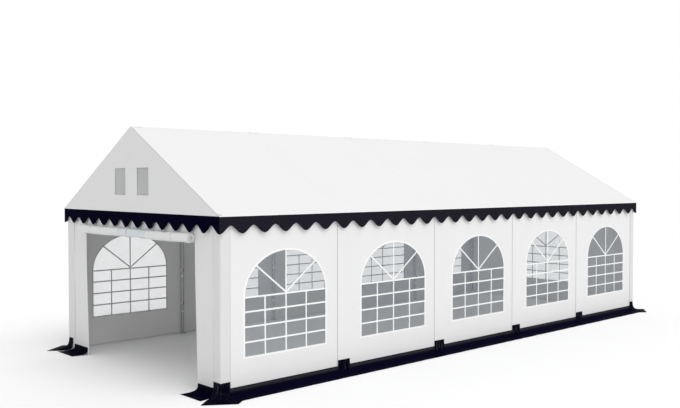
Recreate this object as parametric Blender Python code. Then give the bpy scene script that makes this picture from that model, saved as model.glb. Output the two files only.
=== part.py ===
# Marquee tent, 4 m wide and 10 m long, in five bays of 2 m.
# Six steel frames stand on twelve legs. Five tubes along the tent tie the frames together.
# A roof cover with scalloped valances lies over them, and wall panels with arched film
# windows hang between the legs, with black ground skirts along their feet.
# Metres, +Z up, X across the tent, Y along it. The open doorway faces -Y.
# The origin is on the ground under the middle of the tent.

from math import atan, cos, pi, sin, tan

import bmesh
import bpy
from mathutils import Matrix, Vector

# Frame
BAY = 2.0
BAYS = 5
LEG_X = 2.023
TUBE_R = 0.025
SLEEVE_R = 0.0275
SLEEVE_REACH = 0.10
SLEEVE_END = 0.026
STUB_DROP = 0.14
SEAT_DEPTH = 0.006
RAFTER_ROLL = 0.13
TIE_DROP = 0.075
TUBE_SIDES = 12
FOOT_SIZE = 0.096
FOOT_THICKNESS = 0.006
FOOT_LIP = 0.002
MID_PURLIN_X = 1.0
BORE_REACH = 1.0

# Cover
RIDGE_Z = 3.36
EAVE_Z = 2.188
FABRIC = 0.002
MESH_THICKNESS = 0.001
CLEARANCE = 0.0003
VALANCE_STAND_OFF = 0.04
VALANCE_DROP = 0.213
SCALLOP_DEPTH = 0.103
SIDE_SCALLOPS = 30
END_SCALLOPS = 13
SCALLOP_STEPS = 6
SCALLOP_ROUNDING = 1.08

# Walls
WALL_TOP_Z = 2.20
WALL_FOOT_Z = 0.004
DOOR_LEFT_X = -1.40
DOOR_RIGHT_X = 1.54

# Windows
WINDOW_WIDTH = 1.32
WINDOW_SILL_Z = 0.457
WINDOW_SPRING_Z = 1.19
WINDOW_ARCH_RISE = 0.545
ARCH_STEPS = 14
FILM_LAP = 0.04

# Gable vents
VENT_X = 0.31
VENT_WIDTH = 0.30
VENT_LOW_Z = 2.42
VENT_TOP_Z = 2.79
VENT_LAP = 0.04

# Rolled door
ROLL_R = 0.065
ROLL_Z = 1.907
ROLL_LEFT_X = -1.50
ROLL_RIGHT_X = 1.53
ROLL_SIDES = 20

# Ground skirts
SKIRT_TOP_Z = 0.110
SKIRT_SPREAD = 0.205
SKIRT_THICKNESS = 0.004
SKIRT_STEPS = 6
TAB_TOP_Z = 0.19
TAB_FOOT_Z = 0.09
TAB_WIDTH = 0.22
SKIRT_END_X = 1.895
SKIRT_FLARE = 0.085
APRON_FRONT_X = 1.90
APRON_SIDE_Y = 4.895
APRON_FRONT_GROUND = (1.985, 5.19)
APRON_FRONT_TIP = (2.12, 5.36)
APRON_SIDE_TIP = (2.37, 5.00)
APRON_SIDE_GROUND = (2.27, 4.86)

# Places worked out from the dimensions above
LEG_Y = [(i - BAYS / 2) * BAY for i in range(BAYS + 1)]
END_LEG_Y = LEG_Y[-1]
SIDE_IN = LEG_X + SLEEVE_R + CLEARANCE
SIDE_OUT = SIDE_IN + FABRIC
END_IN = END_LEG_Y + SLEEVE_R + CLEARANCE
END_OUT = END_IN + FABRIC
ROOF_X = SIDE_OUT + VALANCE_STAND_OFF
ROOF_Y = END_OUT + VALANCE_STAND_OFF
PITCH = atan((RIDGE_Z - EAVE_Z) / ROOF_X)
TUBE_SINK = (SLEEVE_R + CLEARANCE + FABRIC) / cos(PITCH)
VALANCE_TOP_Z = EAVE_Z - FABRIC / cos(PITCH) - CLEARANCE
PURLIN_END_Y = END_LEG_Y + SLEEVE_END

# Turns that stand a flat drawing up: drawn x and y become across and up
FACING_END = Matrix.Rotation(pi / 2, 4, "X")
FACING_SIDE = Matrix.Rotation(pi / 2, 4, "Z") @ FACING_END


def clear_scene():
    for thing in list(bpy.data.objects):
        bpy.data.objects.remove(thing, do_unlink=True)


def new_collection(name, hidden=False):
    collection = bpy.data.collections.new(name)
    bpy.context.scene.collection.children.link(collection)
    collection.hide_render = hidden
    return collection


def new_material(name, colour, roughness, metallic=0.0, alpha=1.0):
    material = bpy.data.materials.new(name)
    material.use_nodes = True
    shader = material.node_tree.nodes["Principled BSDF"]
    shader.inputs["Base Color"].default_value = (*colour, 1.0)
    shader.inputs["Roughness"].default_value = roughness
    shader.inputs["Metallic"].default_value = metallic
    shader.inputs["Alpha"].default_value = alpha
    material.diffuse_color = (*colour, alpha)
    return material


clear_scene()
PARTS = new_collection("marquee_tent")
CUTTERS = new_collection("cutters", hidden=True)


def tube_height(x):
    """Height of a roof tube's axis at a distance x from the middle."""
    return RIDGE_Z - abs(x) * tan(PITCH) - TUBE_SINK


def add_part(name, mesh, material):
    """A finished piece of the tent, with its own material."""
    part = bpy.data.objects.new(name, mesh)
    PARTS.objects.link(part)
    part.data.materials.clear()
    part.data.materials.append(material)
    return part


def add_cutter(name, mesh):
    """A guide shape that is joined to a piece or cut from it."""
    cutter = bpy.data.objects.new(name, mesh)
    CUTTERS.objects.link(cutter)
    cutter.hide_render = True
    cutter.display_type = "WIRE"
    return cutter


def mesh_from(build):
    """A mesh made by a function that fills a bmesh."""
    shape = bmesh.new()
    build(shape)
    bmesh.ops.recalc_face_normals(shape, faces=shape.faces)
    mesh = bpy.data.meshes.new("shape")
    shape.to_mesh(mesh)
    shape.free()
    return mesh


def box_mesh(low, high):
    low, high = Vector(low), Vector(high)
    size = Matrix.Diagonal((*(high - low), 1.0))
    place = Matrix.Translation((low + high) / 2) @ size
    return mesh_from(lambda shape: bmesh.ops.create_cube(shape, size=1.0, matrix=place))


def tube_mesh(start, end, radius, sides=TUBE_SIDES, roll=0.0):
    """A round bar from start to end, rolled about its own axis."""
    start, end = Vector(start), Vector(end)
    along = end - start
    turn = along.to_track_quat("Z", "Y").to_matrix().to_4x4() @ Matrix.Rotation(roll, 4, "Z")
    place = Matrix.Translation((start + end) / 2) @ turn
    return mesh_from(lambda shape: bmesh.ops.create_cone(
        shape, cap_ends=True, segments=sides, radius1=radius, radius2=radius,
        depth=along.length, matrix=place))


def combined(base, joined=(), cut=()):
    """The mesh of base with the joined meshes added and the cut meshes taken away."""
    body = add_cutter("body", base)
    groups = []
    for operation, meshes in (("UNION", joined), ("DIFFERENCE", cut)):
        if meshes:
            group = new_collection(operation.lower(), hidden=True)
            groups.append(group)
            for mesh in meshes:
                group.objects.link(add_cutter("tool", mesh))
            modifier = body.modifiers.new(operation.lower(), "BOOLEAN")
            modifier.operation = operation
            modifier.solver = "EXACT"
            modifier.operand_type = "COLLECTION"
            modifier.collection = group
    bpy.context.view_layer.update()
    graph = bpy.context.evaluated_depsgraph_get()
    result = bpy.data.meshes.new_from_object(body.evaluated_get(graph))
    for tool in [body] + [tool for group in groups for tool in group.objects]:
        bpy.data.objects.remove(tool, do_unlink=True)
    for group in groups:
        bpy.data.collections.remove(group)
    return result


def drawn_mesh(outlines, thickness, turn, offset):
    """A flat drawing of closed outlines, given a thickness, stood up by turn and moved by offset."""
    curve = bpy.data.curves.new("drawing", "CURVE")
    curve.dimensions = "2D"
    curve.fill_mode = "BOTH"
    curve.extrude = thickness / 2
    for outline in outlines:
        spline = curve.splines.new("POLY")
        spline.points.add(len(outline) - 1)
        for point, (x, y) in zip(spline.points, outline):
            point.co = (x, y, 0.0, 1.0)
        spline.use_cyclic_u = True
    drawing = bpy.data.objects.new("drawing", curve)
    CUTTERS.objects.link(drawing)
    bpy.context.view_layer.update()
    graph = bpy.context.evaluated_depsgraph_get()
    mesh = bpy.data.meshes.new_from_object(drawing.evaluated_get(graph))
    bpy.data.objects.remove(drawing, do_unlink=True)
    shape = bmesh.new()
    shape.from_mesh(mesh)
    bmesh.ops.remove_doubles(shape, verts=shape.verts, dist=0.0001)
    bmesh.ops.transform(shape, matrix=Matrix.Translation(offset) @ turn, verts=shape.verts)
    bmesh.ops.recalc_face_normals(shape, faces=shape.faces)
    shape.to_mesh(mesh)
    shape.free()
    return mesh


def rectangle(x0, x1, y0, y1):
    return [(x0, y0), (x1, y0), (x1, y1), (x0, y1)]


def window_outline(centre):
    """An arched window: a straight sill and sides under a flattened half round."""
    half = WINDOW_WIDTH / 2
    outline = [(centre - half, WINDOW_SILL_Z), (centre + half, WINDOW_SILL_Z)]
    for step in range(ARCH_STEPS + 1):
        turn = pi * step / ARCH_STEPS
        outline.append((centre + half * cos(turn), WINDOW_SPRING_Z + WINDOW_ARCH_RISE * sin(turn)))
    return outline


def scalloped_outline(half_length, scallops):
    """A valance with rounded scallops along its foot, and a full tip at each end."""
    outline = [(half_length, VALANCE_TOP_Z), (-half_length, VALANCE_TOP_Z)]
    pitch = 2 * half_length / scallops
    steps = scallops * SCALLOP_STEPS
    deepest = 1 - cos(pi / SCALLOP_ROUNDING)
    for step in range(steps + 1):
        along = step / SCALLOP_STEPS
        off_tip = 2 * abs(along - round(along))
        rise = SCALLOP_DEPTH * (1 - cos(pi * off_tip / SCALLOP_ROUNDING)) / deepest
        outline.append((-half_length + along * pitch, EAVE_Z - VALANCE_DROP + rise))
    return outline


def truss_mesh(sleeve_start, sleeve_end):
    """Two rafters with sleeves for the five long tubes, and a stub over each leg."""
    eave, ridge = tube_height(LEG_X), tube_height(0)
    top = Vector((0, 0, ridge))
    joined, cut = [], []
    for side in (-1, 1):
        foot = Vector((side * LEG_X, 0, eave))
        inset = (top - foot).normalized() * SEAT_DEPTH
        joined.append(tube_mesh(foot + inset, top - inset, TUBE_R, roll=RAFTER_ROLL))
        drop = Vector((0, 0, 1))
        joined.append(tube_mesh(foot - drop * SEAT_DEPTH, foot - drop * STUB_DROP, SLEEVE_R))
    for x in (-LEG_X, -MID_PURLIN_X, 0, MID_PURLIN_X, LEG_X):
        z = tube_height(x)
        joined.append(tube_mesh((x, sleeve_start, z), (x, sleeve_end, z), SLEEVE_R))
        cut.append(tube_mesh((x, -BORE_REACH, z), (x, BORE_REACH, z), TUBE_R + CLEARANCE))
    rafter = joined.pop(0)
    return combined(rafter, joined, cut)


def make_frame(steel):
    """Twelve legs, six trusses, five long tubes and a tie across each end."""
    shapes = {
        "front": truss_mesh(-SLEEVE_END, SLEEVE_REACH),
        "middle": truss_mesh(-SLEEVE_REACH, SLEEVE_REACH),
        "back": truss_mesh(-SLEEVE_REACH, SLEEVE_END),
    }
    for i, y in enumerate(LEG_Y):
        kind = {0: "front", BAYS: "back"}.get(i, "middle")
        add_part(f"roof_truss_{i + 1}", shapes[kind], steel).location.y = y

    leg_top = tube_height(LEG_X) - STUB_DROP - CLEARANCE
    inset = FOOT_SIZE / 2 - TUBE_R - FOOT_LIP
    for side, word in ((-1, "left"), (1, "right")):
        for i, y in enumerate(LEG_Y):
            end = {0: 1, BAYS: -1}.get(i, 0)
            middle = Vector((side * (LEG_X - inset), y + end * inset, FOOT_THICKNESS / 2))
            reach = Vector((FOOT_SIZE, FOOT_SIZE, FOOT_THICKNESS)) / 2
            tube = tube_mesh((side * LEG_X, y, FOOT_THICKNESS / 2), (side * LEG_X, y, leg_top), TUBE_R)
            add_part(f"leg_{word}_{i + 1}", combined(tube, [box_mesh(middle - reach, middle + reach)]), steel)

    for name, x in (("ridge_tube", 0), ("roof_tube_left", -MID_PURLIN_X), ("roof_tube_right", MID_PURLIN_X),
                    ("eave_tube_left", -LEG_X), ("eave_tube_right", LEG_X)):
        z = tube_height(x)
        add_part(name, tube_mesh((x, -PURLIN_END_Y, z), (x, PURLIN_END_Y, z), TUBE_R), steel)

    tie_x = LEG_X - SLEEVE_R - CLEARANCE
    tie_z = tube_height(LEG_X) - TIE_DROP
    for name, y in (("tie_front", -END_LEG_Y), ("tie_back", END_LEG_Y)):
        add_part(name, tube_mesh((-tie_x, y, tie_z), (tie_x, y, tie_z), TUBE_R), steel)


def make_roof(white, grey, black):
    """The roof cover, the two gables with their mesh vents, and the four valances."""
    below = FABRIC / cos(PITCH)
    roof = [(-ROOF_X, EAVE_Z), (0, RIDGE_Z), (ROOF_X, EAVE_Z),
            (ROOF_X, EAVE_Z - below), (0, RIDGE_Z - below), (-ROOF_X, EAVE_Z - below)]
    add_part("roof_cover", drawn_mesh([roof], 2 * ROOF_Y, FACING_END, (0, 0, 0)), white)

    under = below + CLEARANCE / cos(PITCH)
    reach = (RIDGE_Z - under - EAVE_Z) / tan(PITCH)
    gable = [(-reach, EAVE_Z), (reach, EAVE_Z), (0, RIDGE_Z - under)]
    vents = [rectangle(x - VENT_WIDTH / 2, x + VENT_WIDTH / 2, VENT_LOW_Z, VENT_TOP_Z)
             for x in (-VENT_X, VENT_X)]
    strip_x = VENT_X + VENT_WIDTH / 2 + VENT_LAP
    strip = rectangle(-strip_x, strip_x, VENT_LOW_Z - VENT_LAP, VENT_TOP_Z + VENT_LAP)
    gable_y = ROOF_Y - FABRIC / 2
    mesh_y = ROOF_Y - FABRIC - CLEARANCE - MESH_THICKNESS / 2
    valance_x = ROOF_X - FABRIC / 2
    end_reach = ROOF_X - FABRIC - CLEARANCE
    for word, way in (("front", -1), ("back", 1)):
        add_part(f"gable_{word}", drawn_mesh([gable] + vents, FABRIC, FACING_END, (0, way * gable_y, 0)), white)
        add_part(f"vent_mesh_{word}", drawn_mesh([strip], MESH_THICKNESS, FACING_END, (0, way * mesh_y, 0)), grey)
        outline = scalloped_outline(end_reach, END_SCALLOPS)
        add_part(f"valance_{word}", drawn_mesh([outline], FABRIC, FACING_END, (0, way * gable_y, 0)), black)
    for word, way in (("left", -1), ("right", 1)):
        outline = scalloped_outline(ROOF_Y, SIDE_SCALLOPS)
        add_part(f"valance_{word}", drawn_mesh([outline], FABRIC, FACING_SIDE, (way * valance_x, 0, 0)), black)


def make_walls(white, clear):
    """Five window panels a side, the back wall, the two front returns and the window film."""
    wall_x = SIDE_IN + FABRIC / 2
    film_x = SIDE_IN - CLEARANCE - MESH_THICKNESS / 2
    film_low = WINDOW_SILL_Z - FILM_LAP
    film_top = WINDOW_SPRING_Z + WINDOW_ARCH_RISE + FILM_LAP
    film_reach = END_LEG_Y - BAY / 2 + WINDOW_WIDTH / 2 + FILM_LAP
    film = rectangle(-film_reach, film_reach, film_low, film_top)
    for word, way in (("left", -1), ("right", 1)):
        for i in range(BAYS):
            start = -END_OUT if i == 0 else LEG_Y[i] + CLEARANCE / 2
            stop = END_OUT if i == BAYS - 1 else LEG_Y[i + 1] - CLEARANCE / 2
            panel = rectangle(start, stop, WALL_FOOT_Z, WALL_TOP_Z)
            window = window_outline(LEG_Y[i] + BAY / 2)
            mesh = drawn_mesh([panel, window], FABRIC, FACING_SIDE, (way * wall_x, 0, 0))
            add_part(f"wall_{word}_{i + 1}", mesh, white)
        mesh = drawn_mesh([film], MESH_THICKNESS, FACING_SIDE, (way * film_x, 0, 0))
        add_part(f"window_film_{word}", mesh, clear)

    end_reach = SIDE_IN - CLEARANCE
    wall_y = END_IN + FABRIC / 2
    back = [rectangle(-end_reach, end_reach, WALL_FOOT_Z, WALL_TOP_Z), window_outline(0)]
    add_part("wall_back", drawn_mesh(back, FABRIC, FACING_END, (0, wall_y, 0)), white)
    film_half = WINDOW_WIDTH / 2 + FILM_LAP
    film_y = END_IN - CLEARANCE - MESH_THICKNESS / 2
    film = rectangle(-film_half, film_half, film_low, film_top)
    add_part("window_film_back", drawn_mesh([film], MESH_THICKNESS, FACING_END, (0, film_y, 0)), clear)
    for name, x0, x1 in (("wall_front_left", -end_reach, DOOR_LEFT_X), ("wall_front_right", DOOR_RIGHT_X, end_reach)):
        panel = rectangle(x0, x1, WALL_FOOT_Z, WALL_TOP_Z)
        add_part(name, drawn_mesh([panel], FABRIC, FACING_END, (0, -wall_y, 0)), white)


def make_rolled_door(white):
    """The front door, rolled up outside over its opening, with its upper edge still hanging down the face."""
    back_y = -(END_OUT + CLEARANCE)
    roll_y = back_y - ROLL_R
    roll = tube_mesh((ROLL_LEFT_X, roll_y, ROLL_Z), (ROLL_RIGHT_X, roll_y, ROLL_Z), ROLL_R - FABRIC / 2, ROLL_SIDES)
    hanging = box_mesh((ROLL_LEFT_X, back_y - FABRIC, ROLL_Z - 0.005), (ROLL_RIGHT_X, back_y, WALL_TOP_Z))
    add_part("door_front_rolled", combined(roll, [hanging]), white)


def skirt_point(column, turn, thickness):
    """A point of a skirt that hangs down its wall (turn 0) and bends out over the ground (turn 90 degrees)."""
    top, ground, height = Vector(column[0]), Vector(column[1]), column[2]
    spread = (ground - top).length
    off_face = Vector((height * cos(turn), spread * sin(turn))).normalized() * thickness
    spot = top + (ground - top).normalized() * (spread * (1 - cos(turn)) + off_face.x)
    return (*spot, height * (1 - sin(turn)) + off_face.y)


def skirt_mesh(columns):
    """A sheet lofted from a wall's face to the ground, through columns of top, ground and height."""
    def build(shape):
        layers = []
        for thickness in (SKIRT_THICKNESS, 0):
            rows = []
            for step in range(SKIRT_STEPS + 1):
                turn = pi / 2 * step / SKIRT_STEPS
                rows.append([shape.verts.new(skirt_point(column, turn, thickness)) for column in columns])
            layers.append(rows)
        upper, lower = layers
        for rows in layers:
            for near, far in zip(rows, rows[1:]):
                for i in range(len(near) - 1):
                    shape.faces.new((near[i], near[i + 1], far[i + 1], far[i]))
        for row in (0, -1):
            for i in range(len(columns) - 1):
                shape.faces.new((upper[row][i], upper[row][i + 1], lower[row][i + 1], lower[row][i]))
        for step in range(SKIRT_STEPS):
            for i in (0, -1):
                shape.faces.new((upper[step][i], upper[step + 1][i], lower[step + 1][i], lower[step][i]))

    return mesh_from(build)


def side_skirt_columns(side):
    """Columns along a side wall, from the apron round the front corner to the one at the back."""
    face_x, face_y = SIDE_OUT + CLEARANCE, END_OUT + CLEARANCE
    mid_tip = tuple((Vector(APRON_FRONT_TIP) + Vector(APRON_SIDE_TIP)) / 2)
    outer_x, strip_y = face_x + SKIRT_SPREAD, APRON_SIDE_Y - 2 * SKIRT_THICKNESS
    corner = [((APRON_FRONT_X, face_y), APRON_FRONT_GROUND, TAB_TOP_Z),
              ((face_x - TUBE_R, face_y), APRON_FRONT_TIP, TAB_TOP_Z),
              ((face_x, face_y), mid_tip, TAB_TOP_Z),
              ((face_x, face_y - TUBE_R), APRON_SIDE_TIP, TAB_TOP_Z),
              ((face_x, APRON_SIDE_Y), APRON_SIDE_GROUND, TAB_TOP_Z),
              ((face_x, strip_y), (outer_x, APRON_SIDE_GROUND[1] - 2 * SKIRT_THICKNESS), SKIRT_TOP_Z)]
    whole = [(end, column) for end, half in ((-1, corner), (1, corner[::-1])) for column in half]
    return [((side * top[0], end * top[1]), (side * ground[0], end * ground[1]), height)
            for end, (top, ground, height) in whole]


def make_skirts(black):
    """Ground skirts: one a side with its tabs and corner aprons, one at the back, two at the front."""
    for word, way in (("left", -1), ("right", 1)):
        tabs = []
        inner = SIDE_OUT + 2 * CLEARANCE
        for y in LEG_Y[1:-1]:
            xs = sorted((way * inner, way * (inner + SKIRT_THICKNESS)))
            low = (xs[0], y - TAB_WIDTH / 2, TAB_FOOT_Z)
            tabs.append(box_mesh(low, (xs[1], y + TAB_WIDTH / 2, TAB_TOP_Z)))
        add_part(f"skirt_{word}", combined(skirt_mesh(side_skirt_columns(way)), tabs), black)

    face_y = END_OUT + CLEARANCE
    left_end, right_end = (-SKIRT_END_X, -SKIRT_FLARE), (SKIRT_END_X, SKIRT_FLARE)
    for name, way, ends in (("skirt_back", 1, (left_end, right_end)),
                            ("skirt_front_left", -1, (left_end, (DOOR_LEFT_X, 0))),
                            ("skirt_front_right", -1, ((DOOR_RIGHT_X, 0), right_end))):
        columns = [((x, way * face_y), (x + flare, way * (face_y + SKIRT_SPREAD)), SKIRT_TOP_Z)
                   for x, flare in ends]
        add_part(name, skirt_mesh(columns), black)


make_frame(new_material("galvanised_steel", (0.62, 0.63, 0.65), 0.35, metallic=1.0))
ROOF_WHITE = new_material("white_cover", (0.90, 0.90, 0.90), 0.45)
make_roof(ROOF_WHITE, new_material("grey_mesh", (0.42, 0.43, 0.44), 0.8),
          new_material("black_valance", (0.012, 0.012, 0.025), 0.5))
WALL_WHITE = new_material("white_wall", (0.86, 0.86, 0.86), 0.45)
make_walls(WALL_WHITE, new_material("clear_film", (0.80, 0.84, 0.88), 0.1, alpha=0.3))
make_rolled_door(WALL_WHITE)
make_skirts(new_material("black_skirt", (0.01, 0.01, 0.02), 0.4))
bpy.data.collections.remove(CUTTERS)
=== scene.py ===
# Marquee tent, 4 m by 10 m: the looks of its steel frame, its white covers, its arched
# windows, its scalloped valance and its black ground skirts.
# Metres, +Z up. The open doorway faces -Y, and +X is the side towards the camera.

from math import atan, cos, pi, radians, sin, sqrt

import bmesh
import bpy
from mathutils import Matrix, Vector, noise


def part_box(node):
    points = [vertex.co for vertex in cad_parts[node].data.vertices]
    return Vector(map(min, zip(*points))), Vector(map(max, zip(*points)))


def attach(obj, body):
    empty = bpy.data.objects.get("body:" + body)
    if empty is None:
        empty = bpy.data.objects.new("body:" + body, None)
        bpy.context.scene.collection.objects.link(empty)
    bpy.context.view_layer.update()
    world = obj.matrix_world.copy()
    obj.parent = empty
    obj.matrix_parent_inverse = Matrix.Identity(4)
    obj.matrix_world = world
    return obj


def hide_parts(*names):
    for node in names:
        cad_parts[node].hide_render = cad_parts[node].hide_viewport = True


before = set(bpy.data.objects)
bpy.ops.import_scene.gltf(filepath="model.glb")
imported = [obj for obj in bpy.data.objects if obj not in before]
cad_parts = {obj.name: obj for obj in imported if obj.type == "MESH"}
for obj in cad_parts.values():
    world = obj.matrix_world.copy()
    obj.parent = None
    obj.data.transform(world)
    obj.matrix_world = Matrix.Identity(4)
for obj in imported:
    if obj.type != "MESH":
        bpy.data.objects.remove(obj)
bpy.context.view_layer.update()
bpy.ops.object.select_all(action="DESELECT")

# Studio
# A pale floor under an even white sky, with one broad soft lamp on the tent's right.
# The camera stands off the right front corner, a little above a person's eyes.

FLOOR_REACH = 60.0
FLOOR_Z = -0.001
SKY_STRENGTH = 0.73
LAMP_STRENGTH = 1.25
LAMP_SPREAD = radians(50)
CAMERA_PLACE = (10.1443, -10.6252, 2.5857)
CAMERA_TILT = radians(90 - 1.4749)
CAMERA_TURN = radians(47.0194)
CAMERA_LENS = 43.444


class Value:
    """An output socket of a finish. Arithmetic on it adds the Math nodes that it needs."""

    def __init__(self, finish, socket):
        self.finish = finish
        self.socket = socket

    def maths(self, operation, first, second):
        return self.finish.node("Math", {"operation": operation}, {0: first, 1: second})

    def __add__(self, other):
        return self.maths("ADD", self, other)

    def __sub__(self, other):
        return self.maths("SUBTRACT", self, other)

    def __rsub__(self, other):
        return self.maths("SUBTRACT", other, self)

    def __mul__(self, other):
        return self.maths("MULTIPLY", self, other)

    __radd__ = __add__
    __rmul__ = __mul__


class Finish:
    """A material with a Principled surface, and constants set on the surface's own sockets."""

    def __init__(self, name, specular=0.5, **constants):
        self.material = bpy.data.materials.new(name)
        self.material.use_nodes = True
        self.tree = self.material.node_tree
        self.surface = self.tree.nodes["Principled BSDF"]
        self.surface.inputs["Specular IOR Level"].default_value = specular
        for socket, value in constants.items():
            self.surface.inputs[socket.replace("_", " ")].default_value = value

    def feed(self, socket, value):
        if isinstance(value, Value):
            self.tree.links.new(value.socket, socket)
        else:
            socket.default_value = value

    def node(self, kind, settings, inputs, output=0):
        """Adds a node: its settings first, then the values or links of its sockets."""
        node = self.tree.nodes.new("ShaderNode" + kind)
        for name, value in settings.items():
            setattr(node, name, value)
        for name, value in inputs.items():
            self.feed(node.inputs[name], value)
        return Value(self, node.outputs[output])

    def place(self, stretch=(1, 1, 1)):
        """The point on the piece, in metres, with each axis stretched."""
        point = self.node("TexCoord", {}, {}, "Object")
        return self.node("Mapping", {}, {"Vector": point, "Scale": stretch})

    def height(self):
        """Height over the ground, in metres."""
        return self.node("SeparateXYZ", {}, {"Vector": self.place()}, "Z")

    def cloud(self, size, stretch=(1, 1, 1), detail=3.0):
        """Soft noise from 0 to 1 with lumps of about size metres."""
        inputs = {"Vector": self.place(stretch), "Scale": 1 / size, "Detail": detail}
        return self.node("TexNoise", {}, inputs)

    def stripes(self, direction, scale, stretch=(1, 1, 1)):
        """Even stripes from 0 to 1, across one direction."""
        inputs = {"Vector": self.place(stretch), "Scale": scale}
        return self.node("TexWave", {"bands_direction": direction}, inputs)

    def step(self, value, low, high, easing="LINEAR"):
        """0 up to low and 1 from high, with a rise between them."""
        inputs = {"Value": value, "From Min": low, "From Max": high}
        return self.node("MapRange", {"interpolation_type": easing}, inputs)

    def bump(self, height, distance, strength=1.0):
        """Feeds the surface's normal from a height, with full height at the distance in metres."""
        inputs = {"Height": height, "Distance": distance, "Strength": strength}
        self.feed(self.surface.inputs["Normal"], self.node("Bump", {}, inputs))

    def tint(self, share, first, second, **others):
        """Colours the surface between two colours by a share, and feeds its other sockets."""
        inputs = {0: share, 6: (*first, 1), 7: (*second, 1)}
        others["Base Color"] = self.node("Mix", {"data_type": "RGBA"}, inputs, 2)
        for name, value in others.items():
            self.feed(self.surface.inputs[name], value)


scene = bpy.context.scene
scene.view_settings.view_transform = "Standard"
bpy.ops.object.camera_add(location=CAMERA_PLACE, rotation=(CAMERA_TILT, 0, CAMERA_TURN))
camera = bpy.context.object
camera.data.lens = CAMERA_LENS
camera.data.clip_end = 500
scene.camera = camera

sky = bpy.data.worlds.new("studio_sky")
sky.use_nodes = True
scene.world = sky
backdrop = sky.node_tree.nodes["Background"]
backdrop.inputs["Color"].default_value = (1, 1, 1, 1)
seen = sky.node_tree.nodes.new("ShaderNodeLightPath")
strength = sky.node_tree.nodes.new("ShaderNodeMapRange")
strength.inputs["To Min"].default_value = SKY_STRENGTH
strength.inputs["To Max"].default_value = 1.0
sky.node_tree.links.new(seen.outputs["Is Camera Ray"], strength.inputs["Value"])
sky.node_tree.links.new(strength.outputs["Result"], backdrop.inputs["Strength"])

bpy.ops.object.light_add(type="SUN", rotation=(0, radians(38), 0))
lamp = bpy.context.object
lamp.data.energy = LAMP_STRENGTH
lamp.data.angle = LAMP_SPREAD

bpy.ops.mesh.primitive_circle_add(
    vertices=96, radius=FLOOR_REACH, fill_type="NGON", location=(0, 0, FLOOR_Z))
floor = bpy.context.object
floor.name = "studio_floor"
floor_paint = Finish("studio_floor_paint", Roughness=0.9)
floor_paint.tint(floor_paint.cloud(4.0), (0.985, 0.985, 0.985), (0.995, 0.995, 0.995))
floor.data.materials.append(floor_paint.material)

# Legs
# Twelve round legs of galvanised steel tube, each welded to a square foot plate that has
# two holes for ground pegs. Webbing straps with plastic buckles hold the wall panels to them.

TUBE_SIDES = 40
TUBE_WALL = 0.0018
PLATE_THICKNESS = 0.006
PLATE_EDGE = 0.0015
TUBE_START_Z = 0.004
WELD_Z = 0.0065
PEG_HOLE_R = 0.007
PEG_HOLE_OFF = 0.024
PEG_HOLE_SHIFT = -0.01
WELD_R = 0.003
STRAP_HEIGHTS = (0.374, 0.513, 0.987, 1.082, 1.60, 1.69)
STRAP_WIDTH = 0.025
STRAP_THICKNESS = 0.0012
STRAP_GAP = 0.0002
BUCKLE_SIZE = (0.007, 0.030, 0.034)
BUCKLE_EDGE = 0.002
BUCKLE_SLOT = (0.003, 0.022, 0.020)
SLOT_EDGE = 0.0012
EDGE_ANGLE = radians(35)

eave_low, eave_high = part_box("eave_tube_right")
TUBE_R = (eave_high.x - eave_low.x) / 2
LEG_X = (eave_high.x + eave_low.x) / 2
TUBE_END_Y = eave_high.y
FRAMES = 6
BAY = 2.0
LEG_Y = [BAY * (i - (FRAMES - 1) / 2) for i in range(FRAMES)]


def pick(*pieces):
    """Selects these pieces and no others, with the first one active."""
    bpy.ops.object.select_all(action="DESELECT")
    for piece in pieces:
        piece.select_set(True)
    bpy.context.view_layer.objects.active = pieces[0]


def settle(piece):
    """Moves a piece's place, turn and scale into its mesh."""
    pick(piece)
    bpy.ops.object.transform_apply(location=True, rotation=True, scale=True)


def joined(name, pieces, *finishes):
    """One object of all the pieces, at the origin, with those finishes where any are given."""
    for piece in pieces:
        settle(piece)
    pick(*pieces)
    if len(pieces) > 1:
        bpy.ops.object.join()
    whole = pieces[0]
    whole.name = name
    whole.data.name = name
    return paint(whole, *finishes) if finishes else whole


def paint(piece, *finishes):
    piece.data.materials.clear()
    for finish in finishes:
        piece.data.materials.append(finish.material)
    return piece


def put_up(piece, slot, *nodes):
    """The piece is part of the standing tent, in place of those CAD nodes."""
    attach(piece, "root")
    if nodes:
        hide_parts(*nodes)
    return piece


def mirror(piece, axes):
    """Mirrors a piece at the origin across the given axes."""
    flips = [-1 if axis in axes else 1 for axis in "xyz"]
    piece.data.transform(Matrix.Diagonal((*flips, 1)))
    if len(axes) % 2:
        piece.data.flip_normals()
    return piece


def copied(piece, name, move=(0, 0, 0), mirrored=""):
    """A copy with its own mesh, mirrored across the given axes and then moved."""
    twin = piece.copy()
    twin.data = piece.data.copy()
    twin.name = name
    twin.data.name = name
    bpy.context.scene.collection.objects.link(twin)
    mirror(twin, mirrored).data.transform(Matrix.Translation(move))
    return twin


def pick_faces(piece, wanted):
    """In edit mode: selects the faces for which wanted(face) holds, and no others."""
    bpy.ops.mesh.select_mode(type="FACE")
    bpy.ops.mesh.select_all(action="DESELECT")
    shape = bmesh.from_edit_mesh(piece.data)
    for face in shape.faces:
        if wanted(face):
            face.select_set(True)
    bmesh.update_edit_mesh(piece.data)


def modify(piece, kind, **settings):
    """Gives the piece in hand a modifier of that kind, and applies it."""
    modifier = piece.modifiers.new(kind, kind)
    for name, value in settings.items():
        setattr(modifier, name, value)
    bpy.ops.object.modifier_apply(modifier=kind)


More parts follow.
